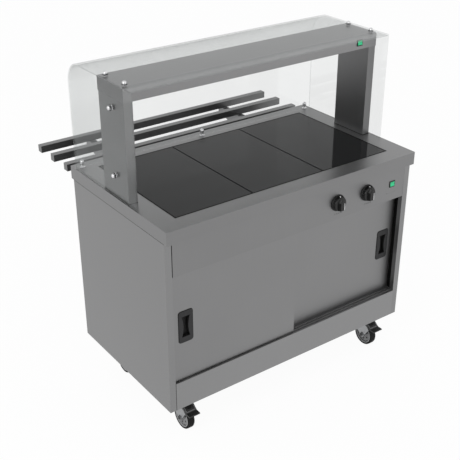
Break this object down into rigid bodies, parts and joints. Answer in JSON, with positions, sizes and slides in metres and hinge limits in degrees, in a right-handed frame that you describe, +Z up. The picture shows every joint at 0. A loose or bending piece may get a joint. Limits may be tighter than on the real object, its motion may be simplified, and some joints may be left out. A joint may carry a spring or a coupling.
{
  "type": "hot cupboard servery counter",
  "caption": "Stainless hot cupboard on castors with sliding doors, a tiled glass hot top, a heated gantry behind a bent glass screen and a tubular tray slide",
  "frame": {"origin": "On the floor, under the middle of the whole counter's bounding box", "axes": "+Z up; the staff side with the doors and controls faces -Y and the tray slide +Y; +X is right as seen from the staff side"},
  "size_m": [1.165, 0.981, 1.335],
  "materials": {
    "satin_steel": "satin stainless sheet, fine upright grain",
    "worktop_steel": "satin stainless sheet, grain along the counter",
    "inner_steel": "bright stainless sheet",
    "tray_slide_steel": "satin stainless tube and folded brackets",
    "hot_glass": "dark toughened glass ceramic, smooth",
    "sealant": "black silicone",
    "heater_mat": "silicone heater mat",
    "element": "heat-tinted tubular element",
    "gland": "black moulded gland",
    "knob": "black moulded knob",
    "thermostat": "moulded thermostat body",
    "switch_body": "black moulded switch body",
    "rocker": "translucent green rocker",
    "door_pull": "dark grey moulded pull",
    "glide": "white nylon",
    "quartz": "quartz tube with ceramic ends",
    "screen_glass": "clear toughened glass, bent",
    "bright_fixing": "bright fixings",
    "zinc_plate": "bright zinc-plated pressings",
    "wheel_centre": "grey moulded wheel centre",
    "tyre": "black rubber tread",
    "pedal": "black moulded pedal"
  },
  "bodies": {
    "counter": {"left_side_panel": "satin_steel", "right_side_panel": "satin_steel", "back_panel": "satin_steel", "front_plinth": "satin_steel", "control_fascia": "satin_steel", "worktop": "worktop_steel", "left_upright": "worktop_steel", "right_upright": "worktop_steel", "canopy": "worktop_steel", "base_pan": "inner_steel", "cupboard_liner": "inner_steel", "shelf": "inner_steel", "bottom_track": "inner_steel", "top_track": "inner_steel", "hot_top_tray": "inner_steel", "lamp_reflector": "inner_steel", "lamp_holders": "inner_steel", "tray_rails": "tray_slide_steel", "tray_brackets": "tray_slide_steel", "hot_glass_left": "hot_glass", "hot_glass_centre": "hot_glass", "hot_glass_right": "hot_glass", "glass_seal": "sealant", "heater_mats": "heater_mat", "cupboard_element": "element", "mains_gland": "gland", "thermostats": "thermostat", "switch_bodies": "switch_body", "quartz_lamps": "quartz", "screen_glass": "screen_glass", "left_end_glass": "screen_glass", "right_end_glass": "screen_glass", "glass_fixings": "bright_fixing", "clamp_posts": "bright_fixing", "castor_plates": "zinc_plate"},
    "left_door": {"left_door": "satin_steel", "left_door_pull": "door_pull", "left_door_glides": "glide"},
    "right_door": {"right_door": "satin_steel", "right_door_pull": "door_pull", "right_door_glides": "glide"},
    "hot_top_knob": {"hot_top_knob": "knob"},
    "cupboard_knob": {"cupboard_knob": "knob"},
    "fascia_rocker": {"fascia_rocker": "rocker"},
    "gantry_rocker": {"gantry_rocker": "rocker"},
    "front_left_fork": {"front_left_fork": "zinc_plate"},
    "front_left_wheel": {"front_left_hub": "wheel_centre", "front_left_tyre": "tyre"},
    "front_left_pedal": {"front_left_pedal": "pedal"},
    "front_right_fork": {"front_right_fork": "zinc_plate"},
    "front_right_wheel": {"front_right_hub": "wheel_centre", "front_right_tyre": "tyre"},
    "front_right_pedal": {"front_right_pedal": "pedal"},
    "rear_left_fork": {"rear_left_fork": "zinc_plate"},
    "rear_left_wheel": {"rear_left_hub": "wheel_centre", "rear_left_tyre": "tyre"},
    "rear_right_fork": {"rear_right_fork": "zinc_plate"},
    "rear_right_wheel": {"rear_right_hub": "wheel_centre", "rear_right_tyre": "tyre"}
  },
  "joints": [
    {"name": "left_door_slide", "type": "slide", "parent": "counter", "child": "left_door", "axis": [1, 0, 0], "range_m": [0, 0.5335]},
    {"name": "right_door_slide", "type": "slide", "parent": "counter", "child": "right_door", "axis": [-1, 0, 0], "range_m": [0, 0.5335]},
    {"name": "hot_top_knob_turn", "type": "hinge", "parent": "counter", "child": "hot_top_knob", "pos_m": [0.194, -0.4745, 0.782], "axis": [0, 1, 0], "range_deg": [0, 270]},
    {"name": "cupboard_knob_turn", "type": "hinge", "parent": "counter", "child": "cupboard_knob", "pos_m": [0.344, -0.4745, 0.782], "axis": [0, 1, 0], "range_deg": [0, 270]},
    {"name": "fascia_rocker_tilt", "type": "hinge", "parent": "counter", "child": "fascia_rocker", "pos_m": [0.479, -0.4595, 0.782], "axis": [1, 0, 0], "range_deg": [0, 14]},
    {"name": "gantry_rocker_tilt", "type": "hinge", "parent": "counter", "child": "gantry_rocker", "pos_m": [0.4775, -0.2295, 1.291], "axis": [1, 0, 0], "range_deg": [0, 14]},
    {"name": "front_left_swivel", "type": "hinge", "parent": "counter", "child": "front_left_fork", "pos_m": [-0.47, -0.3585, 0.1381], "axis": [0, 0, 1], "continuous": true},
    {"name": "front_left_roll", "type": "hinge", "parent": "front_left_fork", "child": "front_left_wheel", "pos_m": [-0.47, -0.3935, 0.05], "axis": [1, 0, 0], "continuous": true},
    {"name": "front_left_brake", "type": "hinge", "parent": "front_left_fork", "child": "front_left_pedal", "pos_m": [-0.47, -0.3915, 0.1201], "axis": [1, 0, 0], "range_deg": [0, 8]},
    {"name": "front_right_swivel", "type": "hinge", "parent": "counter", "child": "front_right_fork", "pos_m": [0.47, -0.3585, 0.1381], "axis": [0, 0, 1], "continuous": true},
    {"name": "front_right_roll", "type": "hinge", "parent": "front_right_fork", "child": "front_right_wheel", "pos_m": [0.47, -0.3935, 0.05], "axis": [1, 0, 0], "continuous": true},
    {"name": "front_right_brake", "type": "hinge", "parent": "front_right_fork", "child": "front_right_pedal", "pos_m": [0.47, -0.3915, 0.1201], "axis": [1, 0, 0], "range_deg": [0, 8]},
    {"name": "rear_left_swivel", "type": "hinge", "parent": "counter", "child": "rear_left_fork", "pos_m": [-0.47, 0.0755, 0.1381], "axis": [0, 0, 1], "continuous": true},
    {"name": "rear_left_roll", "type": "hinge", "parent": "rear_left_fork", "child": "rear_left_wheel", "pos_m": [-0.47, 0.0405, 0.05], "axis": [1, 0, 0], "continuous": true},
    {"name": "rear_right_swivel", "type": "hinge", "parent": "counter", "child": "rear_right_fork", "pos_m": [0.47, 0.0755, 0.1381], "axis": [0, 0, 1], "continuous": true},
    {"name": "rear_right_roll", "type": "hinge", "parent": "rear_right_fork", "child": "rear_right_wheel", "pos_m": [0.47, 0.0405, 0.05], "axis": [1, 0, 0], "continuous": true}
  ]
}
